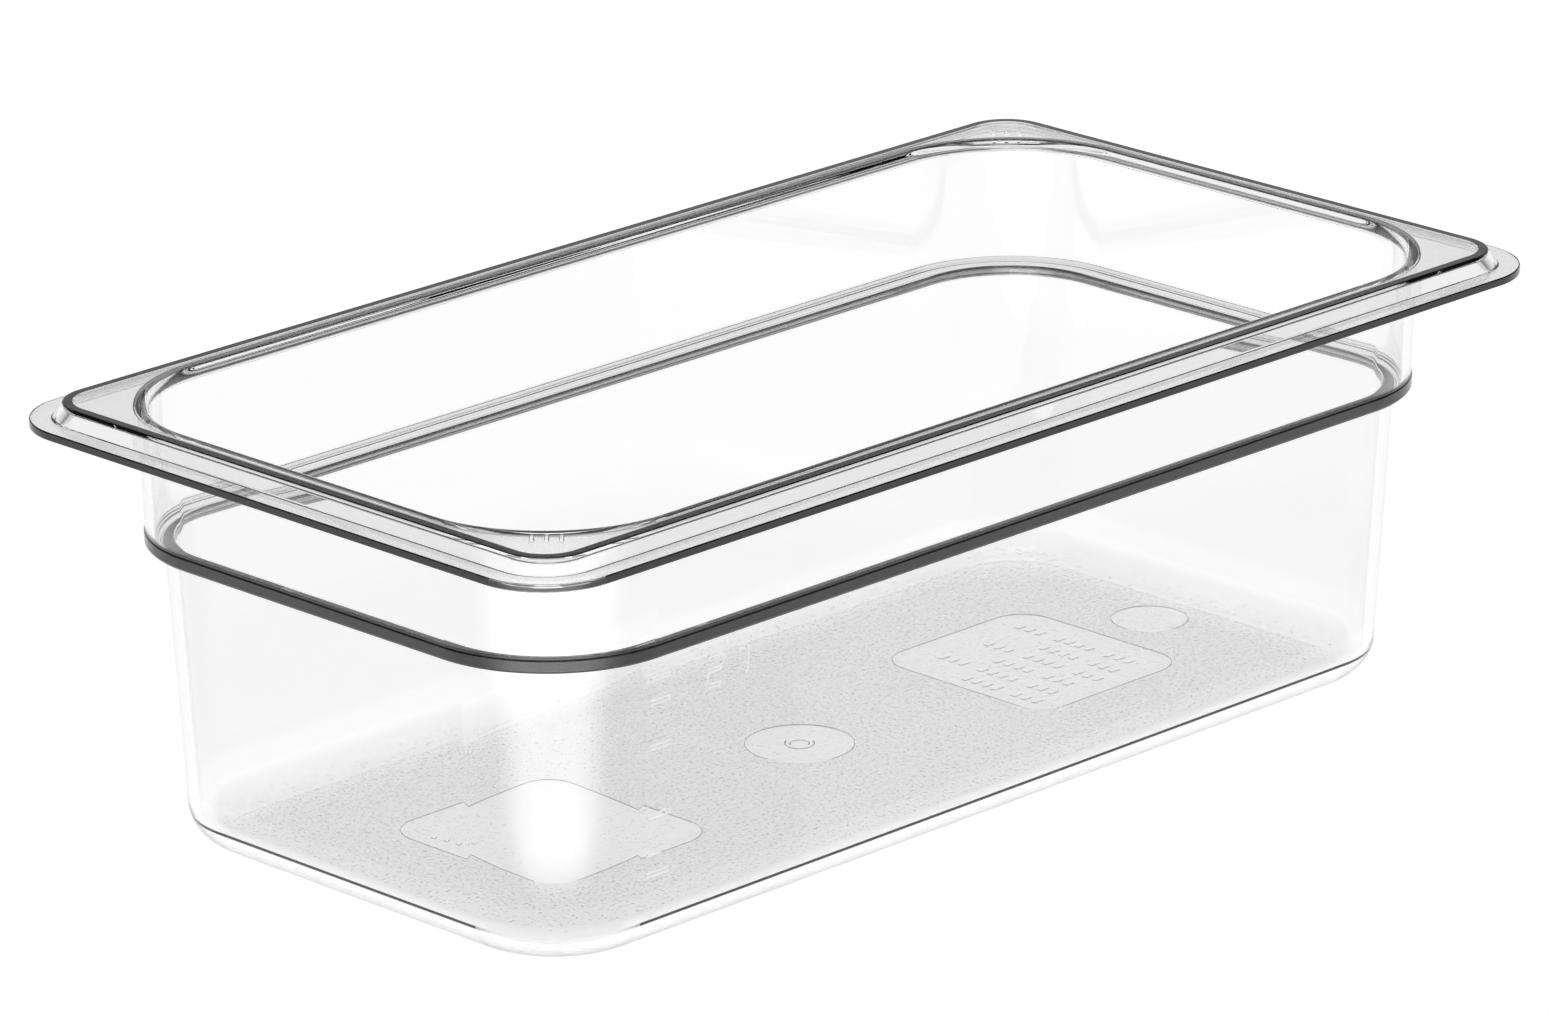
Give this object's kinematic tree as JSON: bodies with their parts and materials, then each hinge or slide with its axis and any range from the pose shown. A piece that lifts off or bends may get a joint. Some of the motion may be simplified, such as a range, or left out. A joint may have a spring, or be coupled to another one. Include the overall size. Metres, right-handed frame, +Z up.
{
  "type": "food storage pan",
  "caption": "Clear third-size deli food pan with a stepped flange rim, rounded mouth, stacking shoulder, tapered walls and a flat frosted base.",
  "frame": {"origin": "middle of the footprint on the surface the pan stands on", "axes": "+X along the 325 mm length, +Y across the 176 mm width, +Z up out of the mouth"},
  "size_m": [0.325, 0.176, 0.1035],
  "materials": {
    "clear_plastic": "clear, polished",
    "frosted_plastic": "clear with a fine frosted underside"
  },
  "bodies": {
    "root": {"rim": "clear_plastic", "upper_band": "clear_plastic", "shoulder": "clear_plastic", "lower_band": "clear_plastic", "base": "frosted_plastic"}
  },
  "joints": []
}
